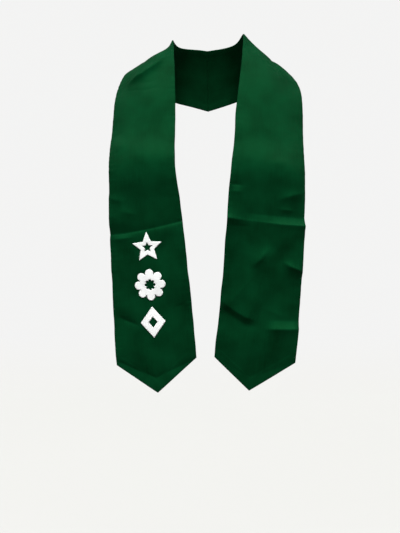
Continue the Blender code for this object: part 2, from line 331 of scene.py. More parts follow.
rightSections = (
    (0.00, -1.00, 0.72, 0.800, 75.5, 90.0, 0.03),
    (0.50, -0.90, 0.80, 0.745, 70.0, 63.0, 0.03),
    (0.87, -0.53, 0.98, 0.715, 56.0, 48.0, 0.02),
    (1.01, 0.04, 1.07, 0.735, 41.5, 46.0, 0.055),
    (0.99, 0.12, 0.79, 0.730, 28.0, 36.0, 0.06),
    (0.95, 0.22, 0.38, 0.725, 17.0, 27.0, 0.08),
    (0.91, 0.34, -0.009, 0.785, 11.0, 20.5, 0.08),
    (0.75, 0.65, -0.152, 0.885, 6.5, 15.0, 0.06),
    (0.70, 0.83, -0.242, 0.900, 5.0, 14.0, 0.05),
    (0.63, 0.96, -0.305, 0.930, 4.2, 12.0, 0.05),
    (0.53, 1.00, -0.421, 0.965, 3.5, 10.0, 0.04),
    (0.43, 0.98, -0.582, 0.985, 3.5, 8.5, 0.04),
    (0.27, 0.93, -0.779, 1.000, 4.2, 6.0, 0.03),
    (0.165, 0.90, -0.884, 1.012, 4.4, 4.8, 0.03),
    (0.090, 0.88, -0.986, 1.012, 4.4, 4.8, 0.03),
)

# A crease is a line of (along, across) shares of the strip, its height in mm, below
# zero for a valley, how far in mm it dies away above and below the line, how
# sharp its top is in mm, and the share of its ends over which it fades.
leftCreases = (
    (((0.458, -0.10), (0.468, 0.30), (0.482, 0.60), (0.504, 0.85), (0.520, 1.10)),
     2.4, 46.0, 44.0, 22.0, 0.22),
    (((0.620, -0.03), (0.613, 0.01), (0.621, 0.27), (0.628, 0.53), (0.633, 0.80), (0.634, 1.03)),
     -3.8, 20.0, 4.8, 0.5, 0.0),
    (((0.642, 0.60), (0.647, 1.03)), 2.8, 5.0, 9.0, 1.0, 0.5),
    (((0.189, 0.04), (0.208, 0.18), (0.230, 0.33), (0.250, 0.52), (0.266, 0.84)), 9.0, 26.0, 7.0, 1.5, 0.33),
    (((0.165, 0.50), (0.196, 0.64), (0.214, 0.90)), -2.0, 9.0, 7.0, 2.5, 0.4),
    (((0.277, 0.90), (0.284, 0.70), (0.291, 0.46), (0.286, 0.12)), -0.7, 5.0, 3.4, 0.6, 0.35),
    (((0.268, 0.62), (0.272, 0.40), (0.266, 0.20)), -0.5, 4.0, 3.0, 0.6, 0.45),
    (((0.812, 1.00), (0.829, 0.86), (0.850, 0.62)), -3.6, 8.0, 9.0, 1.5, 0.45),
    (((0.800, 0.05), (0.812, 0.24)), -1.3, 6.0, 7.0, 1.5, 0.5),
    (((0.915, 1.03), (0.924, 0.95), (0.947, 0.72), (0.966, 0.515), (0.952, 0.33), (0.930, -0.03)),
     -2.0, 6.0, 12.0, 1.0, 0.0),
    (((0.594, 0.56), (0.580, 0.88)), 1.8, 6.0, 8.0, 1.5, 0.5),
    (((0.564, 0.74), (0.548, 1.06)), 3.0, 10.0, 10.0, 2.0, 0.45),
)
rightCreases = (
    (((0.498, -0.10), (0.496, 0.50), (0.506, 1.10)), 2.4, 46.0, 44.0, 22.0, 0.2),
    (((0.398, -0.10), (0.404, 1.10)), 2.4, 34.0, 44.0, 16.0, 0.15),
    (((0.611, -0.03), (0.615, 0.27), (0.617, 0.47), (0.620, 0.68), (0.619, 1.03)), 1.9, 3.6, 28.0, 0.5, 0.0),
    (((0.616, 0.38), (0.619, 0.72), (0.619, 1.35)), 6.4, 10.0, 28.0, 0.8, 0.40),
    (((0.611, -0.10), (0.613, 1.10)), 2.4, 45.0, 45.0, 3.0, 0.0),
    (((0.605, -0.50), (0.614, 0.27)), 9.0, 17.0, 36.0, 1.2, 0.30),
    (((0.600, -0.46), (0.606, 0.30)), 4.0, 38.0, 30.0, 3.0, 0.38),
    (((0.627, -0.03), (0.628, 0.36)), -0.8, 4.0, 9.0, 0.8, 0.4),
    (((0.597, 0.10), (0.601, 0.60), (0.603, 1.20)), -2.6, 16.0, 9.0, 1.5, 0.35),
    (((0.135, 0.70), (0.200, 0.61), (0.268, 0.66)), -3.2, 13.0, 13.0, 3.0, 0.4),
    (((0.252, 0.98), (0.268, 0.74)), -0.45, 3.5, 4.0, 0.8, 0.4),
    (((0.536, -0.03), (0.538, 0.22)), -2.8, 7.0, 5.0, 1.2, 0.5),
    (((0.551, -0.03), (0.552, 0.22)), 2.2, 5.0, 7.0, 1.2, 0.5),
    (((0.568, 0.58), (0.554, 0.80), (0.540, 1.06)), 5.2, 11.0, 13.0, 2.0, 0.5),
    (((0.584, 0.60), (0.588, 0.90)), 2.2, 4.5, 7.0, 1.0, 0.5),
    (((0.666, 0.58), (0.698, 0.46), (0.726, 0.32)), 6.5, 11.0, 14.0, 1.6, 0.5),
    (((0.700, 0.70), (0.714, 0.84), (0.728, 1.06)), 8.5, 12.0, 10.0, 1.0, 0.42),
    (((0.790, -0.03), (0.808, 0.08), (0.822, 0.20), (0.833, 0.32), (0.841, 0.50)),
     6.0, 34.0, 11.0, 1.5, 0.30),
    (((0.806, -0.03), (0.824, 0.08), (0.838, 0.20), (0.849, 0.32), (0.857, 0.50)),
     -4.5, 11.0, 22.0, 2.5, 0.30),
    (((0.858, 0.54), (0.855, 0.80), (0.852, 1.08)), 9.0, 11.5, 20.0, 1.0, 0.33),
    (((0.838, 0.56), (0.836, 0.80), (0.834, 1.08)), -3.0, 20.0, 10.0, 1.5, 0.33),
    (((0.808, 0.50), (0.822, 0.72), (0.832, 0.92)), 1.0, 5.0, 9.0, 1.0, 0.5),
    (((0.925, 1.03), (0.948, 0.74), (0.969, 0.455), (0.950, 0.22), (0.930, -0.03)),
     -0.6, 6.0, 13.0, 1.2, 0.0),
)

# A dent is a soft round rise: along, across, height in mm, then its reach in mm along and across
leftDents = (
    (0.427, 0.84, 2.8, 12.0, 17.0),
    (0.452, 0.62, 1.2, 16.0, 34.0),
    (0.500, 0.30, 1.6, 26.0, 30.0),
    (0.560, 0.25, -2.0, 24.0, 36.0),
    (0.600, 0.88, 3.2, 14.0, 22.0),
    (0.606, 1.04, 4.5, 32.0, 34.0),
    (0.700, 0.86, 2.2, 20.0, 18.0),
    (0.740, 0.12, 1.6, 26.0, 14.0),
    (0.905, 0.68, 1.1, 8.0, 12.0),
    (0.990, 0.515, 4.2, 17.0, 24.0),
)
rightDents = (
    (0.484, 0.60, 1.5, 8.0, 13.0),
    (0.506, 0.66, 2.0, 15.0, 30.0),
    (0.545, 0.40, -1.5, 22.0, 30.0),
    (0.655, 0.75, 1.4, 18.0, 24.0),
    (0.690, 0.97, 1.8, 13.0, 16.0),
    (0.770, 0.30, 1.6, 26.0, 30.0),
    (0.885, 0.16, 1.4, 14.0, 20.0),
    (0.872, 0.45, 2.6, 38.0, 60.0),
    (0.900, 0.72, 1.1, 16.0, 30.0),
    (0.990, 0.455, 0.6, 16.0, 22.0),
)

leftHalf = {
    "name": "left_half_satin", "node": "left_half", "side": -1.0, "sections": leftSections, "point": 0.515,
    "creases": leftCreases, "dents": leftDents, "neckLift": 5.0, "seed": 11,
}
rightHalf = {
    "name": "right_half_satin", "node": "right_half", "side": 1.0, "sections": rightSections, "point": 0.455,
    "creases": rightCreases, "dents": rightDents, "neckLift": 0.0, "seed": 23,
}


slopeStep = 0.002                   # share of the length or width over which a slope is taken


def unit(vectors):
    return vectors / np.linalg.norm(vectors, axis=-1, keepdims=True)


def ease(share):
    share = np.clip(share, 0.0, 1.0)
    return share * share * (3.0 - 2.0 * share)


def smoothCurve(stops, values):
    # natural cubic curve through one row of values at each stop
    count = len(stops)
    steps = np.diff(stops)
    slopes = np.diff(values, axis=0) / steps[:, None]
    system = np.eye(count)
    right = np.zeros_like(values)
    for row in range(1, count - 1):
        system[row, row - 1:row + 2] = (steps[row - 1], 2.0 * (steps[row - 1] + steps[row]), steps[row])
        right[row] = 6.0 * (slopes[row] - slopes[row - 1])
    bends = np.linalg.solve(system, right)

    def at(place):
        place = np.asarray(place, float)
        piece = np.clip(np.searchsorted(stops, place, side="right") - 1, 0, count - 2)
        step = steps[piece][..., None]
        after = ((place - stops[piece]) / steps[piece])[..., None]
        before = 1.0 - after
        swing = (before ** 3 - before) * bends[piece] + (after ** 3 - after) * bends[piece + 1]
        return before * values[piece] + after * values[piece + 1] + swing * step ** 2 / 6.0

    return at


class Strip:
    # one half of the stole: a smooth surface over its length and its width, with folds on it

    def __init__(self, values):
        self.values = values
        self.side = values["side"]
        self.point = values["point"]
        inner, across, widths, bows = [], [], [], []
        for side, depth, height, width, tilt, turn, bow in values["sections"]:
            reach = stole["chestReach"] if depth > 0.0 else stole["napeReach"]
            rise = stole["neckRise"] if height > 0.0 else stole["frontDrop"]
            inner.append((self.side * side * stole["neckHalfWidth"], -depth * reach, height * rise))
            flat = math.cos(math.radians(tilt))
            across.append((self.side * flat * math.cos(math.radians(turn)),
                           flat * math.sin(math.radians(turn)), -math.sin(math.radians(tilt))))
            widths.append((width * stole["endWidth"],))
            bows.append((bow * stole["endWidth"],))
        inner, across, widths, bows = map(np.array, (inner, across, widths, bows))
        middles = inner + 0.5 * widths * across
        run = np.linalg.norm(np.diff(middles, axis=0), axis=1)
        self.length = run.sum()
        self.curve = smoothCurve(np.concatenate(([0.0], np.cumsum(run) / self.length)),
                                 np.hstack((inner, across, widths, bows)))
        # nine rolls, and for each edge seven ripples, four of which also make it wander
        random = np.random.default_rng(values["seed"])
        self.rolls = random.uniform(0.0, 1.0, (9, 4))
        self.puckers = random.uniform(0.0, 1.0, (2, 7, 2))

    def width(self, along):
        return self.curve(along)[..., 6]

    def middle(self, along):
        here = self.curve(np.clip(along, 0.0, 1.0))
        return here[..., 0:3] + 0.5 * here[..., 6:7] * here[..., 3:6]

    def bare(self, along, across):
        along, across = np.broadcast_arrays(np.asarray(along, float), np.asarray(across, float))
        here = self.curve(along)
        onward = unit(self.middle(along + slopeStep) - self.middle(along - slopeStep))
        sideways = unit(here[..., 3:6])
        outward = -self.side * unit(np.cross(sideways, onward))
        share = across[..., None]
        bulge = here[..., 7:8] * 4.0 * share * (1.0 - share)
        return here[..., 0:3] + share * here[..., 6:7] * sideways + bulge * outward

    def normal(self, along, across):
        across = np.clip(across, 0.0, 1.0)      # a wandering edge may lie just outside
        ahead = self.bare(np.minimum(along + slopeStep, 1.0), across)
        behind = self.bare(np.maximum(along - slopeStep, 0.0), across)
        outer = self.bare(along, np.minimum(across + slopeStep, 1.0))
        inner = self.bare(along, np.maximum(across - slopeStep, 0.0))
        normal = -self.side * unit(np.cross(outer - inner, ahead - behind))
        normal[np.broadcast_to(along == 0.0, normal.shape[:-1]), 0] = 0.0
        return unit(normal)

    def cutToPoint(self, along, across):
        inside = across / self.point
        outside = (1.0 - across) / (1.0 - self.point)
        cut = stole["pointDrop"] / self.length * (1.0 - np.minimum(inside, outside))
        return along - cut * ease((along - stole["bendStart"]) / (1.0 - stole["bendStart"]))

    def creaseHeight(self, lengthHere, widthHere, crease):
        # everything here is in mm on the flat strip
        line, height, above, below, sharp, fade = crease
        points = np.array(line) * (self.length * 1000.0, stole["endWidth"] * 1000.0)
        runs = np.linalg.norm(np.diff(points, axis=0), axis=1)
        total = runs.sum()
        nearest = np.full(lengthHere.shape, 1e9)
        signed = np.zeros(lengthHere.shape)
        travelled = np.zeros(lengthHere.shape)
        for number, run in enumerate(runs):
            start = points[number]
            way = (points[number + 1] - start) / run
            offLength = lengthHere - start[0]
            offWidth = widthHere - start[1]
            share = np.clip(offLength * way[0] + offWidth * way[1], 0.0, run)
            gapLength = offLength - share * way[0]
            gapWidth = offWidth - share * way[1]
            gap = np.hypot(gapLength, gapWidth)
            closer = gap < nearest
            nearest = np.where(closer, gap, nearest)
            signed = np.where(closer, np.sign(gapLength) * gap, signed)
            travelled = np.where(closer, (runs[:number].sum() + share) / total, travelled)
        reach = np.where(signed < 0.0, above, below)
        soft = np.sqrt(signed ** 2 + sharp ** 2) - sharp
        amount = 1.0
        if fade > 0.0:
            amount = ease(travelled / fade) * ease((1.0 - travelled) / fade)
        return height * amount * np.exp(-soft / reach)

    def folds(self, along, across):
        # the height of everything that isn't smooth, in metres
        lengthHere = along * self.length * 1000.0
        widthHere = across * stole["endWidth"] * 1000.0
        height = np.zeros(lengthHere.shape)
        for crease in self.values["creases"]:
            height += self.creaseHeight(lengthHere, widthHere, crease)
        for place, share, rise, reachAlong, reachAcross in self.values["dents"]:
            offLength = (lengthHere - place * self.length * 1000.0) / reachAlong
            offWidth = (widthHere - share * stole["endWidth"] * 1000.0) / reachAcross
            height += rise * np.exp(-0.5 * (offLength ** 2 + offWidth ** 2))
        # the inner edge stands off a little at the top
        offLength = (lengthHere - drape["neckPlace"] * self.length * 1000.0) / drape["neckReach"][0]
        offWidth = widthHere / drape["neckReach"][1]
        height += self.values["neckLift"] * np.exp(-0.5 * (offLength ** 2 + offWidth ** 2))
        hanging = ease((along - drape["calmUntil"]) / drape["calmFade"])
        calm = drape["chestShare"] + (1.0 - drape["chestShare"]) * hanging
        for turn, wave, phase, size in self.rolls:
            rollLength = drape["length"][0] + drape["length"][1] * wave
            lean = math.radians(drape["lean"] * (2.0 * turn - 1.0))
            way = lengthHere * math.cos(lean) + widthHere * math.sin(lean)
            rollHeight = drape["height"][0] + drape["height"][1] * size
            height += calm * rollHeight * np.sin(2.0 * math.pi * (way / rollLength + phase))
        return height / 1000.0

    def edgeGap(self, along, across):
        return np.minimum(across, 1.0 - across) * self.width(along)

    def ripple(self, lengthHere, waves, shortest, longer):
        return sum(np.sin(2.0 * math.pi * (lengthHere / (shortest + longer * size) + phase))
                   for size, phase in waves)

    def puckerHeight(self, along, across):
        height = 0.0
        for number, share in enumerate((across, 1.0 - across)):
            waves = self.puckers[number]
            wave = self.ripple(along * self.length * 1000.0, waves, *edging["puckerLength"])
            gap = share * self.width(along)
            height = height + wave / math.sqrt(len(waves)) * np.exp(-gap / edging["puckerReach"])
        return height * edging["puckerDepth"]

    def face(self, along, across, lift=0.0, puckered=False):
        along, across = np.broadcast_arrays(np.asarray(along, float), np.asarray(across, float))
        height = self.folds(along, across) + lift
        if puckered:
            height = height + self.puckerHeight(along, across)
        return self.bare(along, across) + height[..., None] * self.normal(along, across)


# Outlines of the appliques, a share of their greatest radius at a turn from the top

applique = {
    "size": 0.059,
    "pitch": 0.0712,
    "rise": 0.277,                  # point of the strip up to the upper centre
    "across": 0.50,
    "opening": 0.36,
    "sunk": 0.0003,                 # how far the underside sinks into the satin's nap
    "top": 0.0012,                  # upper face above the satin
    "edgeRound": 0.00045,
    "steps": (0.0, 0.00007, 0.0002, 0.00045, 0.0008, 0.0012, 0.0016, 0.0021, 0.0027),   # rows beside an edge
    "middleRows": 6,
    "turns": 240,
    "grooveDepth": 0.00013,         # stitches press a shallow groove just inside the edges
    "grooveInset": 0.0013,
    "grooveReach": 0.00055,
    "dentDepth": 0.00035,           # the satin is drawn down along the stitched outline
    "dentReach": 0.0022,
    "openingDent": 0.7,             # share of that round the opening
}


def starOutline(turn):
    notch, halfTurn = 0.46, math.pi / 5.0
    away = np.abs((turn + halfTurn) % (2.0 * halfTurn) - halfTurn)
    sideX, sideY = notch * math.sin(halfTurn), notch * math.cos(halfTurn) - 1.0
    return sideX / (sideX * np.cos(away) - sideY * np.sin(away))


def rosetteOutline(turn):
    seat, halfTurn = 0.74, math.pi / 8.0
    away = np.abs((turn + halfTurn) % (2.0 * halfTurn) - halfTurn)
    reach = (1.0 - seat) ** 2 - (seat * np.sin(away)) ** 2
    return seat * np.cos(away) + np.sqrt(np.maximum(reach, 0.0))


def lozengeOutline(turn):
    waist = 0.80
    return 1.0 / (np.abs(np.cos(turn)) + np.abs(np.sin(turn)) / waist)


appliques = (
    {"name": "star_applique", "outline": starOutline},
    {"name": "rosette_applique", "outline": rosetteOutline},
    {"name": "lozenge_applique", "outline": lozengeOutline},
)


def sewnDent(strip, along, across):
    # in metres, along the outer and inner outline of each applique
    dent = np.zeros(np.broadcast(along, across).shape)
    for number, row in enumerate(appliques):
        centreRise = applique["rise"] - number * applique["pitch"]
        up = (1.0 - along) * strip.length - centreRise
        side = (across - applique["across"]) * strip.width(along)
        radius = np.hypot(up, side)
        outline = row["outline"](np.arctan2(side, up)) * applique["size"] / 2.0
        gap = (radius - outline) / applique["dentReach"]
        opening = (radius - outline * applique["opening"]) / applique["dentReach"]
        dent -= np.exp(-0.5 * gap ** 2) + applique["openingDent"] * np.exp(-0.5 * opening ** 2)
    return dent * applique["dentDepth"]


# Meshes

def shellMesh(name, top, bottom, uv, wraps, material, fromEdge):
    # a closed shell: both grids share their border points, and a ring has no side borders
    rows, columns = top.shape[:2]
    topIndex = np.arange(rows * columns).reshape(rows, columns)
    inside = np.zeros((rows, columns), bool)
    inside[1:-1, (slice(None) if wraps else slice(1, -1))] = True
    bottomIndex = topIndex.copy()
    bottomIndex[inside] = rows * columns + np.arange(inside.sum())
    points = np.concatenate((top.reshape(-1, 3), bottom[inside]))
    flat = np.concatenate((uv.reshape(-1, 2), uv[inside]))

    def quads(index):
        after = np.roll(index, -1, axis=1) if wraps else index[:, 1:]
        before = index if wraps else index[:, :-1]
        return np.stack((before[:-1], after[:-1], after[1:], before[1:]), -1).reshape(-1, 4)

    faces = np.concatenate((quads(topIndex), quads(bottomIndex)[:, ::-1]))
    corners = points[faces]
    volume = (corners[:, 0] * np.cross(corners[:, 1], corners[:, 2])).sum()
    volume += (corners[:, 0] * np.cross(corners[:, 2], corners[:, 3])).sum()
    if volume < 0.0:
        faces = faces[:, ::-1]
    mesh = bpy.data.meshes.new(name)
    mesh.from_pydata(points.tolist(), [], faces.tolist())
    layer = mesh.uv_layers.new(name="clothMap")
    layer.data.foreach_set("uv", flat[faces.reshape(-1)].reshape(-1))
    spread = np.concatenate((fromEdge.reshape(-1), fromEdge[inside]))
    mesh.attributes.new("fromEdge", "FLOAT", "POINT").data.foreach_set("value", spread.astype(np.float32))
    mesh.materials.append(material)
    mesh.shade_smooth()
    return placeItem(name, mesh)


def makeHalf(values):
    strip = Strip(values)
    steps = np.array(edging["steps"])
    # columns: close together at both edges, with one on the line of the point
    edge = steps / stole["endWidth"]
    perSide = stole["columns"] // 2 + 1
    inner = np.concatenate((edge, np.linspace(edge[-1], strip.point, perSide)[1:]))
    outer = np.concatenate((np.linspace(strip.point, 1.0 - edge[-1], perSide)[1:], (1.0 - edge[::-1])[1:]))
    across = np.concatenate((inner, outer))[None, :]
    ends = steps / strip.length
    between = np.linspace(ends[-1], 1.0 - ends[-1], stole["rows"])[1:-1]
    rows = np.concatenate((ends, between, 1.0 - ends[::-1]))[:, None]
    along = strip.cutToPoint(rows, across)
    rows = np.broadcast_to(rows, along.shape)
    across = np.broadcast_to(across, along.shape)
    # distances from the sides, the hem and the centre seam
    sideGap = strip.edgeGap(along, across)
    hemGap = (1.0 - rows) * strip.length * edging["hemLean"]
    seamGap = rows * strip.length
    nearest = np.minimum(np.minimum(sideGap, hemGap), seamGap)

    def roll(gap):
        share = np.clip(gap / edging["roll"], 0.0, 1.0)
        return np.sqrt(1.0 - (1.0 - share) ** 2)

    rolled = np.minimum(np.minimum(roll(sideGap), roll(hemGap)), roll(seamGap))
    turnedIn = np.minimum(sideGap, hemGap / edging["hemAllowance"]) - edging["allowanceWidth"]
    allowance = 1.0 - ease(turnedIn / edging["allowanceStep"] + 0.5)
    halfWall = (stole["wall"] / 2.0 + edging["allowanceDepth"] * allowance) * rolled
    # the cut edges wander a little, and most of it dies away towards the other edge
    lengthHere = along * strip.length * 1000.0
    drift = np.zeros(along.shape)
    for number, share in enumerate((1.0 - across, across)):
        waves = strip.puckers[number, :4]
        wave = strip.ripple(lengthHere, waves, *edging["wanderLength"])
        drift += wave / math.sqrt(len(waves)) * share ** 6
    across = across + drift * edging["wander"] / stole["endWidth"]
    middleLift = -stole["wall"] / 2.0
    if values["side"] < 0.0:
        middleLift = middleLift + sewnDent(strip, along, across)
    top = strip.face(along, across, middleLift + halfWall, True)
    bottom = strip.face(along, across, middleLift - halfWall, True)
    uv = np.stack(((across - 0.5) * strip.width(along), along * strip.length), -1)
    item = shellMesh(values["name"], top, bottom, uv, False, satin, nearest)
    print(values["name"], len(item.data.polygons), "quads, length", round(float(strip.length), 4))
    return item, strip


leftCloth, leftStrip = makeHalf(leftHalf)
rightCloth, rightStrip = makeHalf(rightHalf)


appliqueTurns = np.linspace(0.0, 2.0 * math.pi, applique["turns"], endpoint=False)


def outlineData(row):
    # radius in metres, and how much longer a radial step is than the same step square to the outline
    size = applique["size"] / 2.0
    radius = row["outline"](appliqueTurns) * size
    small = 1e-4
    before = (radius - row["outline"](appliqueTurns - small) * size) / small
    after = (row["outline"](appliqueTurns + small) * size - radius) / small
    slope = np.maximum(np.abs(before), np.abs(after))
    return radius, np.sqrt(radius ** 2 + slope ** 2) / radius


def onStrip(number, radius, turns):
    centreRise = applique["rise"] - number * applique["pitch"]
    along = 1.0 - (centreRise + radius * np.cos(turns)) / leftStrip.length
    across = applique["across"] + radius * np.sin(turns) / leftStrip.width(along)
    return along, across


def makeApplique(number, row):
    outer, factor = outlineData(row)
    inner = outer * applique["opening"]
    steps = np.array(applique["steps"])[:, None]
    # the steps from both edges never use up the band between them
    reach = np.minimum(factor, 0.46 * (outer - inner) / steps[-1])[None, :]
    fromOuter = outer[None, :] - steps * reach
    fromInner = inner[None, :] + steps * reach
    share = np.linspace(0.0, 1.0, applique["middleRows"] + 2)[1:-1, None]
    between = fromInner[-1] + share * (fromOuter[-1] - fromInner[-1])
    radius = np.concatenate((fromInner, between, fromOuter[::-1]))
    middleGap = np.full((len(share), 1), 1.5 * steps[-1, 0])        # clear of the groove
    gap = np.concatenate((steps, middleGap, steps[::-1])) + np.zeros(radius.shape)
    rounding = np.clip(gap / applique["edgeRound"], 0.0, 1.0)
    rounding = np.sqrt(1.0 - (1.0 - rounding) ** 2)
    offGroove = (gap - applique["grooveInset"]) / applique["grooveReach"]
    groove = applique["grooveDepth"] * np.exp(-0.5 * offGroove ** 2)
    angles = np.broadcast_to(appliqueTurns, radius.shape)
    along, across = onStrip(number, radius, angles)
    under = -applique["sunk"]
    top = leftStrip.face(along, across, under + (applique["top"] - under) * rounding - groove)
    bottom = leftStrip.face(along, across, under)
    uv = np.stack((radius * np.sin(angles), radius * np.cos(angles)), -1)
    item = shellMesh(row["name"] + "_twill", top, bottom, uv, True, twill, gap)
    flatWide = 2.0 * float((outer * np.abs(np.sin(appliqueTurns))).max())
    flatHigh = float(np.ptp(outer * np.cos(appliqueTurns)))
    area = float((outer ** 2 - inner ** 2).sum() * math.pi / len(appliqueTurns))
    print(item.name, len(item.data.polygons), "quads")
    return item, (flatWide, flatHigh), area


# The zigzag stitches, laid along each outline by a node tree

zigzag = {
    "pitch": 0.00062,               # one needle place to the next
    "inset": 0.0010,                # the line of the stitches inside the cut edge
    "reachIn": 0.0011,
    "reachOut": 0.0013,
    "drop": 0.0013,                 # outer needle place, down in the satin
    "bridge": 0.00062,
    "sunk": 0.0001,                 # how far the stitches' line lies under the twill's face
    "threadRadius": 0.00017,
    "spread": 0.24,                 # turn to either side, in radians
    "lean": (-0.07, 0.07),          # chance added to that
    "sizes": (0.93, 1.06),
    "seed": 5,
}


def makeStitchTree():
    tree = bpy.data.node_groups.new("zigzagAlongOutline", "GeometryNodeTree")
    interface = tree.interface
    interface.new_socket("Path", in_out="INPUT", socket_type="NodeSocketGeometry")
    for name in ("Pitch", "Reach In", "Reach Out", "Drop", "Bridge", "Thread Radius", "Spread"):
        interface.new_socket(name, in_out="INPUT", socket_type="NodeSocketFloat")
    interface.new_socket("Seed", in_out="INPUT", socket_type="NodeSocketInt")
    interface.new_socket("Thread", in_out="INPUT", socket_type="NodeSocketMaterial")
    interface.new_socket("Stitches", in_out="OUTPUT", socket_type="NodeSocketGeometry")
    given = addNode(tree, "NodeGroupInput").outputs
    path = addNode(tree, "GeometryNodeMeshToCurve", {"Mesh": given["Path"]})
    places = addNode(tree, "GeometryNodeResampleCurve", {"Curve": path.outputs[0], "Length": given["Pitch"]},
                     mode="LENGTH")
    # one stitch: up out of the satin, over the cut edge and down into the twill
    start = addNode(tree, "ShaderNodeCombineXYZ",
                    {0: given["Reach Out"], 2: mathNode(tree, "MULTIPLY", given["Drop"], -1.0)})
    over = addNode(tree, "ShaderNodeCombineXYZ", {0: given["Thread Radius"], 2: given["Bridge"]})
    end = addNode(tree, "ShaderNodeCombineXYZ",
                  {0: mathNode(tree, "MULTIPLY", given["Reach In"], -1.0), 2: -zigzag["sunk"]})
    arc = addNode(tree, "GeometryNodeCurveQuadraticBezier",
                  {"Resolution": 6, "Start": start.outputs[0], "Middle": over.outputs[0],
                   "End": end.outputs[0]})
    ring = addNode(tree, "GeometryNodeCurvePrimitiveCircle",
                   {"Resolution": 6, "Radius": given["Thread Radius"]})
    stitch = addNode(tree, "GeometryNodeCurveToMesh",
                     {"Curve": arc.outputs[0], "Profile Curve": ring.outputs[0], "Fill Caps": True})
    # each stitch stands on the twill and leans by turns to either side
    odd = mathNode(tree, "MODULO", addNode(tree, "GeometryNodeInputIndex").outputs[0], 2.0)
    leaning = mathNode(tree, "MULTIPLY", mathNode(tree, "MULTIPLY_ADD", odd, 2.0, -1.0), given["Spread"])
    # sockets 2 and 3 of a random value are the limits of a plain number
    chance, size = [addNode(tree, "FunctionNodeRandomValue", {2: low, 3: high, "Seed": given["Seed"]},
                            data_type="FLOAT").outputs[1] for low, high in (zigzag["lean"], zigzag["sizes"])]
    leanTurn = addNode(tree, "ShaderNodeCombineXYZ", {2: mathNode(tree, "ADD", leaning, chance)})
    up, outwards = [addNode(tree, "GeometryNodeInputNamedAttribute", {"Name": name},
                            data_type="FLOAT_VECTOR").outputs[0] for name in ("threadUp", "threadOut")]
    stand = addNode(tree, "FunctionNodeAlignRotationToVector", {"Vector": up}, axis="Z")
    faceOut = addNode(tree, "FunctionNodeAlignRotationToVector",
                      {"Rotation": stand.outputs[0], "Vector": outwards}, axis="X", pivot_axis="Z")
    leanRotation = addNode(tree, "FunctionNodeEulerToRotation", {0: leanTurn.outputs[0]})
    turned = addNode(tree, "FunctionNodeRotateRotation",
                     {"Rotation": faceOut.outputs[0], "Rotate By": leanRotation.outputs[0]},
                     rotation_space="LOCAL")
    placed = addNode(tree, "GeometryNodeInstanceOnPoints",
                     {"Points": places.outputs[0], "Instance": stitch.outputs[0],
                      "Rotation": turned.outputs[0], "Scale": size})
    real = addNode(tree, "GeometryNodeRealizeInstances", {0: placed.outputs[0]})
    smooth = addNode(tree, "GeometryNodeSetShadeSmooth", {0: real.outputs[0]})
    dressed = addNode(tree, "GeometryNodeSetMaterial", {0: smooth.outputs[0], "Material": given["Thread"]})
    addNode(tree, "NodeGroupOutput", {0: dressed.outputs[0]})
    return tree


stitchTree = makeStitchTree()


def insetLoop(row, size, outwards):
    # an outline moved into the twill: the envelope of circles round its points, so narrow teeth close up
    fine = np.linspace(0.0, 2.0 * math.pi, 10 * applique["turns"], endpoint=False)
    reach = row["outline"](fine) * size
    side = reach * np.sin(appliqueTurns[:, None] - fine)
    ahead = reach * np.cos(appliqueTurns[:, None] - fine)
    bulge = np.sqrt(np.maximum(zigzag["inset"] ** 2 - side ** 2, 0.0))
    near = (np.abs(side) < zigzag["inset"]) & (ahead > 0.0)
    if outwards:
        return np.where(near, ahead + bulge, 0.0).max(axis=1)
    return np.where(near, ahead - bulge, size).min(axis=1)


def makeStitches(number, row):
    size = applique["size"] / 2.0
    points, edges, ups, outs = [], [], [], []
    for sign, radius in ((1.0, insetLoop(row, size, False)),
                         (-1.0, insetLoop(row, size * applique["opening"], True))):
        along, across = onStrip(number, radius, appliqueTurns)
        place = leftStrip.face(along, across, applique["top"] - zigzag["sunk"])
        up = leftStrip.normal(along, across)
        tangent = unit(np.roll(place, -1, axis=0) - np.roll(place, 1, axis=0))
        out = unit(np.cross(tangent, up))
        facing = np.sign((out * (place - place.mean(axis=0))).sum())
        first, count = len(points), len(place)
        points.extend(place.tolist())
        edges.extend((first + step, first + (step + 1) % count) for step in range(count))
        ups.extend(up.tolist())
        outs.extend((out * facing * sign).tolist())
    mesh = bpy.data.meshes.new(row["name"] + "_stitches")
    mesh.from_pydata(points, edges, [])
    for name, vectors in (("threadUp", ups), ("threadOut", outs)):
        layer = mesh.attributes.new(name, "FLOAT_VECTOR", "POINT")
        layer.data.foreach_set("vector", np.array(vectors, np.float32).reshape(-1))
    item = placeItem(row["name"] + "_stitches", mesh)
    modifier = item.modifiers.new("zigzag", "NODES")
    modifier.node_group = stitchTree
    wanted = {"Pitch": zigzag["pitch"], "Reach In": zigzag["reachIn"], "Reach Out": zigzag["reachOut"],
              "Drop": zigzag["drop"], "Bridge": zigzag["bridge"], "Thread Radius": zigzag["threadRadius"],
              "Spread": zigzag["spread"], "Seed": zigzag["seed"] + number, "Thread": thread}
    for socket in stitchTree.interface.items_tree:
        if socket.name in wanted:
            modifier[socket.identifier] = wanted[socket.name]
    depsgraph = bpy.context.evaluated_depsgraph_get()
    made = bpy.data.meshes.new_from_object(item.evaluated_get(depsgraph))
    item.modifiers.clear()
    item.data = made
    made.name = item.name
    print(item.name, len(made.polygons), "faces")
    return item


def flatArea(strip):
    # the cut's own area: width over length, less the two triangles beside the point
    along = np.linspace(0.0, 1.0, 400)
    return float(strip.width(along).mean() * strip.length - 0.5 * stole["pointDrop"] * stole["endWidth"])


for values, cloth, strip in ((leftHalf, leftCloth, leftStrip), (rightHalf, rightCloth, rightStrip)):
    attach(cloth, "root")
    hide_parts(values["node"])
    flatArea(strip)

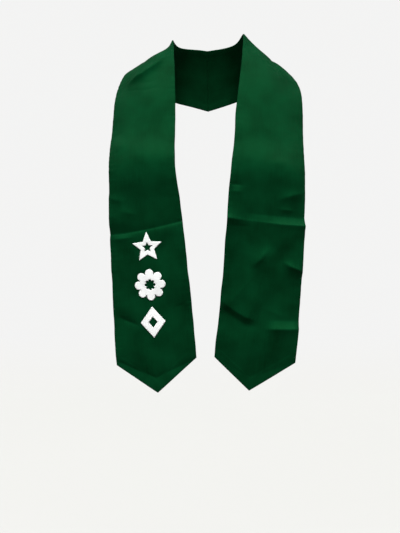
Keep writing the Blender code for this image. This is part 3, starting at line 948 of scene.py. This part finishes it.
for number, row in enumerate(appliques):
    cloth, flat, area = makeApplique(number, row)
    stitches = makeStitches(number, row)
    for item in (cloth, stitches):
        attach(item, "root")
    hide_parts(row["name"])
print("appliques and stitches made")


# Studio

studio = {
    "floorHeight": -1.10,
    "floorRadius": 14.0,
    "floorTone": "929290",          # painted grey, which this much light turns pale
    "floorBounce": "606060",        # the darker tone that it throws back up at the cloth
    "floorFade": (3.5, 13.0),       # the floor runs into the backdrop between these distances
    # what the camera sees behind, as pale as the floor
    "backdrop": (0.90, 0.90, 0.895, 1.0),
    "ambient": 0.15,                # what lights the cloth from all round
    "topStrength": 7.1,
    "topSpread": 34.0,              # one broad light overhead, in degrees
    "topTilt": 27.0,                # degrees from straight above towards the camera
    "backStrength": 2.8,            # one light at each side behind, for a readable back
    "backSpread": 40.0,
    "backHeight": 35.0,             # degrees above the floor
    "backTurn": 55.0,               # degrees to either side of straight behind
    # level and straight in front, as far off as for a portrait
    "cameraPlace": (-0.01596, -3.1, -0.39235),
    "cameraLens": 105.9,
}


def floorMaterial(values):
    material, tree = startMaterial("matt_painted_studio_floor")
    place = addNode(tree, "ShaderNodeTexCoord").outputs["Object"]
    cloud = addNode(tree, "ShaderNodeTexNoise", {"Vector": place, "Scale": 1.2, "Detail": 2.0}).outputs[0]
    roughness = rangeNode(tree, cloud, (0.0, 1.0), (0.75, 0.9))
    seenPaint, bouncePaint = [addNode(tree, "ShaderNodeBsdfPrincipled", {
        "Base Color": hexColour(values[tone]), "Roughness": roughness, "Specular IOR Level": 0.1}).outputs[0]
        for tone in ("floorTone", "floorBounce")]
    distance = addNode(tree, "ShaderNodeVectorMath", {0: place}, operation="LENGTH").outputs["Value"]
    fade = rangeNode(tree, distance, values["floorFade"], curve="SMOOTHSTEP")
    glow = addNode(tree, "ShaderNodeEmission", {0: values["backdrop"], 1: 1.0})
    faded = addNode(tree, "ShaderNodeMixShader", {0: fade, 1: seenPaint, 2: glow.outputs[0]})
    seenDirectly = addNode(tree, "ShaderNodeLightPath").outputs["Is Camera Ray"]
    paint = addNode(tree, "ShaderNodeMixShader", {0: seenDirectly, 1: bouncePaint, 2: faded.outputs[0]})
    addNode(tree, "ShaderNodeOutputMaterial", {0: paint.outputs[0]})
    return material


def makeFloor(values):
    # a disc in rings
    count, shares = 96, (0.1, 0.4, 1.0)
    turns = [2.0 * math.pi * step / count for step in range(count)]
    points = [(values["floorRadius"] * share * math.cos(turn), values["floorRadius"] * share * math.sin(turn),
               values["floorHeight"]) for share in shares for turn in turns]
    faces = [tuple(range(count))]
    for first in range(0, count * (len(shares) - 1), count):
        for step in range(count):
            here, after = first + step, first + (step + 1) % count
            faces.append((here, here + count, after + count, after))
    mesh = bpy.data.meshes.new("studioFloor")
    mesh.from_pydata(points, [], faces)
    mesh.materials.append(floorMaterial(values))
    return placeItem("studioFloor", mesh)


def makeLamp(name, strength, spread, towards, mirrored):
    # a broad light from far off; towards is the way it shines, and mirrored says whether satin glints in it
    light = bpy.data.lights.new(name, "SUN")
    light.energy = strength
    light.angle = math.radians(spread)
    item = placeItem(name, light)
    item.rotation_euler = Vector(towards).to_track_quat("-Z", "Y").to_euler()
    item.visible_glossy = mirrored


def makeLamps(values):
    makeLamp("topLight", values["topStrength"], values["topSpread"],
             (0.0, math.tan(math.radians(values["topTilt"])), -1.0), True)
    turn, lift = math.radians(values["backTurn"]), math.radians(values["backHeight"])
    for side, name in ((-1.0, "backLeftLight"), (1.0, "backRightLight")):
        towards = (-side * math.sin(turn) * math.cos(lift), -math.cos(turn) * math.cos(lift), -math.sin(lift))
        makeLamp(name, values["backStrength"], values["backSpread"], towards, False)


def makeWorld(values):
    world = bpy.data.worlds.new("paleStudio")
    world.use_nodes = True
    tree = world.node_tree
    tree.nodes.clear()
    ambient = addNode(tree, "ShaderNodeBackground", {0: (1.0, 1.0, 1.0, 1.0), 1: values["ambient"]})
    seen = addNode(tree, "ShaderNodeBackground", {0: values["backdrop"], 1: 1.0})
    seenDirectly = addNode(tree, "ShaderNodeLightPath").outputs["Is Camera Ray"]
    mixed = addNode(tree, "ShaderNodeMixShader", {0: seenDirectly, 1: ambient.outputs[0], 2: seen.outputs[0]})
    addNode(tree, "ShaderNodeOutputWorld", {0: mixed.outputs[0]})
    bpy.context.scene.world = world


def makeCamera(values):
    camera = bpy.data.cameras.new("frontCamera")
    camera.sensor_width = 36.0
    camera.lens = values["cameraLens"]
    item = placeItem("frontCamera", camera)
    item.location = values["cameraPlace"]
    item.rotation_euler = (math.radians(90.0), 0.0, 0.0)
    bpy.context.scene.camera = item


makeFloor(studio)
makeLamps(studio)
makeWorld(studio)
makeCamera(studio)
bpy.context.scene.view_settings.view_transform = "Standard"
print("studio ready")
